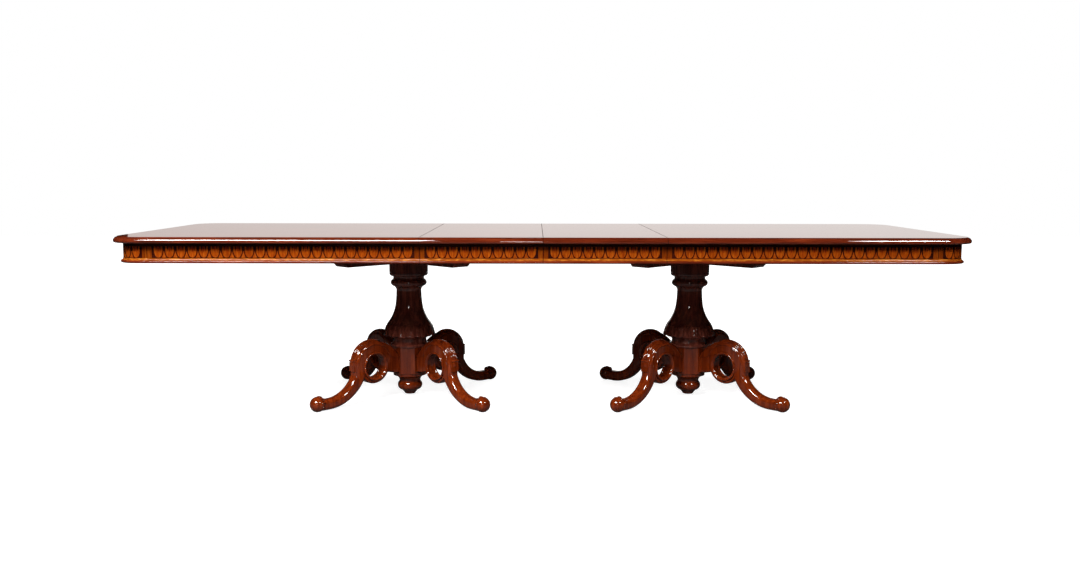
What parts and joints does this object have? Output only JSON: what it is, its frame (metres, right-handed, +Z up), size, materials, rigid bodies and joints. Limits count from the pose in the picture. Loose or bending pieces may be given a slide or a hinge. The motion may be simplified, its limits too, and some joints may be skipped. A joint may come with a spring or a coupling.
{
  "type": "double pedestal dining table",
  "caption": "Long dining table with rounded corners, inlaid apron and loose leaves, on turned pedestals with pierced scroll legs and ball feet.",
  "frame": {"origin": "on the floor under the centre of the top", "axes": "+X along the length of the top, +Y towards the back edge, +Z up"},
  "size_m": [3.576, 1.22, 0.78],
  "materials": {
    "top_veneer": "polished mahogany veneer",
    "moulding_mahogany": "gloss lacquer",
    "inlaid_apron": "marquetry under lacquer",
    "dark_mahogany": "dark stain, gloss",
    "red_mahogany": "red stain, gloss",
    "beech": "bare planed wood",
    "steel": "plain zinc plate",
    "brass": "dull"
  },
  "bodies": {
    "underframe": {"left_column": "dark_mahogany", "left_carved_collar": "dark_mahogany", "left_hub": "red_mahogany", "left_drop_finial": "red_mahogany", "left_leg_front_left": "red_mahogany", "left_leg_front_right": "red_mahogany", "left_leg_back_left": "red_mahogany", "left_leg_back_right": "red_mahogany", "left_cross_arms": "dark_mahogany", "right_column": "dark_mahogany", "right_carved_collar": "dark_mahogany", "right_hub": "red_mahogany", "right_drop_finial": "red_mahogany", "right_leg_front_left": "red_mahogany", "right_leg_front_right": "red_mahogany", "right_leg_back_left": "red_mahogany", "right_leg_back_right": "red_mahogany", "right_cross_arms": "dark_mahogany", "front_rail": "beech", "back_rail": "beech", "rail_spreaders": "beech", "tie_rods": "steel", "tie_rod_nuts": "steel", "rail_screws": "steel"},
    "left_end": {"left_end_panel": "top_veneer", "left_end_lipping": "moulding_mahogany", "left_end_bead": "moulding_mahogany", "left_long_aprons": "inlaid_apron", "left_corner_aprons": "inlaid_apron", "left_end_apron": "inlaid_apron", "left_runners": "beech", "left_end_blocks": "beech", "left_end_catch_studs": "brass"},
    "left_leaf": {"left_leaf_panel": "top_veneer", "left_leaf_lippings": "moulding_mahogany", "left_leaf_beads": "moulding_mahogany", "left_leaf_aprons": "inlaid_apron", "left_leaf_blocks": "beech", "left_leaf_catch_studs": "brass"},
    "right_end": {"right_end_panel": "top_veneer", "right_end_lipping": "moulding_mahogany", "right_end_bead": "moulding_mahogany", "right_long_aprons": "inlaid_apron", "right_corner_aprons": "inlaid_apron", "right_end_apron": "inlaid_apron", "right_runners": "beech", "right_end_blocks": "beech", "right_end_catch_studs": "brass"},
    "right_leaf": {"right_leaf_panel": "top_veneer", "right_leaf_lippings": "moulding_mahogany", "right_leaf_beads": "moulding_mahogany", "right_leaf_aprons": "inlaid_apron", "right_leaf_blocks": "beech", "right_leaf_catch_studs": "brass"},
    "left_catch_front": {"left_catch_front": "brass"},
    "left_catch_back": {"left_catch_back": "brass"},
    "middle_catch_front": {"middle_catch_front": "brass"},
    "middle_catch_back": {"middle_catch_back": "brass"},
    "right_catch_front": {"right_catch_front": "brass"},
    "right_catch_back": {"right_catch_back": "brass"}
  },
  "joints": [
    {"name": "left_end_slide", "type": "slide", "parent": "underframe", "child": "left_end", "axis": [-1, 0, 0], "range_m": [0, 0.055]},
    {"name": "right_end_slide", "type": "slide", "parent": "underframe", "child": "right_end", "axis": [1, 0, 0], "range_m": [0, 0.121]},
    {"name": "left_leaf_lift", "type": "slide", "parent": "underframe", "child": "left_leaf", "axis": [0, 0, 1], "range_m": [0, 0.35]},
    {"name": "right_leaf_lift", "type": "slide", "parent": "underframe", "child": "right_leaf", "axis": [0, 0, 1], "range_m": [0, 0.35]},
    {"name": "left_catch_front_swing", "type": "hinge", "parent": "left_end", "child": "left_catch_front", "pos_m": [-0.548, -0.43, 0.75], "axis": [0, 0, -1], "range_deg": [0, 90]},
    {"name": "left_catch_back_swing", "type": "hinge", "parent": "left_end", "child": "left_catch_back", "pos_m": [-0.548, 0.43, 0.75], "axis": [0, 0, -1], "range_deg": [0, 90]},
    {"name": "middle_catch_front_swing", "type": "hinge", "parent": "left_leaf", "child": "middle_catch_front", "pos_m": [-0.04, -0.43, 0.75], "axis": [0, 0, -1], "range_deg": [0, 90]},
    {"name": "middle_catch_back_swing", "type": "hinge", "parent": "left_leaf", "child": "middle_catch_back", "pos_m": [-0.04, 0.43, 0.75], "axis": [0, 0, -1], "range_deg": [0, 90]},
    {"name": "right_catch_front_swing", "type": "hinge", "parent": "right_end", "child": "right_catch_front", "pos_m": [0.548, -0.43, 0.75], "axis": [0, 0, -1], "range_deg": [0, 90]},
    {"name": "right_catch_back_swing", "type": "hinge", "parent": "right_end", "child": "right_catch_back", "pos_m": [0.548, 0.43, 0.75], "axis": [0, 0, -1], "range_deg": [0, 90]}
  ]
}
